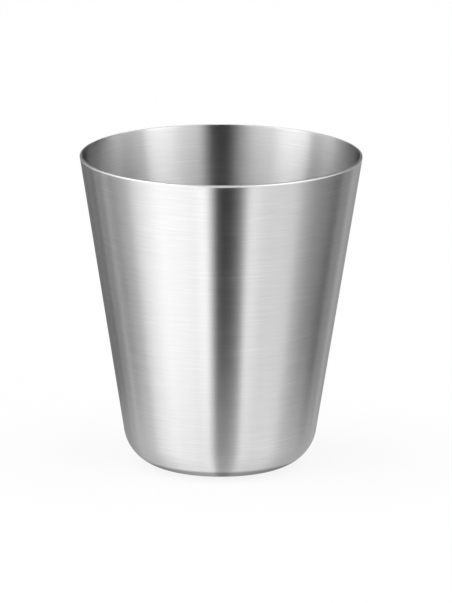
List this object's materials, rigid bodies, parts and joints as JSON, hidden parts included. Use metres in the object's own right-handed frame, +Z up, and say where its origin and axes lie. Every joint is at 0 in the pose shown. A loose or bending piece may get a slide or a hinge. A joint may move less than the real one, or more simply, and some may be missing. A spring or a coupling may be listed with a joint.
{
  "type": "steel shot cup",
  "caption": "Small tapered single-wall drinking cup of brushed stainless steel with a rounded bottom corner and a thin polished lip.",
  "frame": {"origin": "middle of the foot, on the surface that the cup stands on", "axes": "+Z up along the cup's axis, from the foot to the mouth; the cup is round, so X and Y are any two level directions"},
  "size_m": [0.0498, 0.0498, 0.0559],
  "materials": {
    "base_steel": "satin stainless steel, brushed in rings about the middle",
    "wall_steel": "stainless steel, finely brushed round the cup, inside and outside",
    "lip_steel": "polished stainless steel edge"
  },
  "bodies": {
    "root": {"base_pan": "base_steel", "cup_wall": "wall_steel", "lip_ring": "lip_steel"}
  },
  "joints": []
}
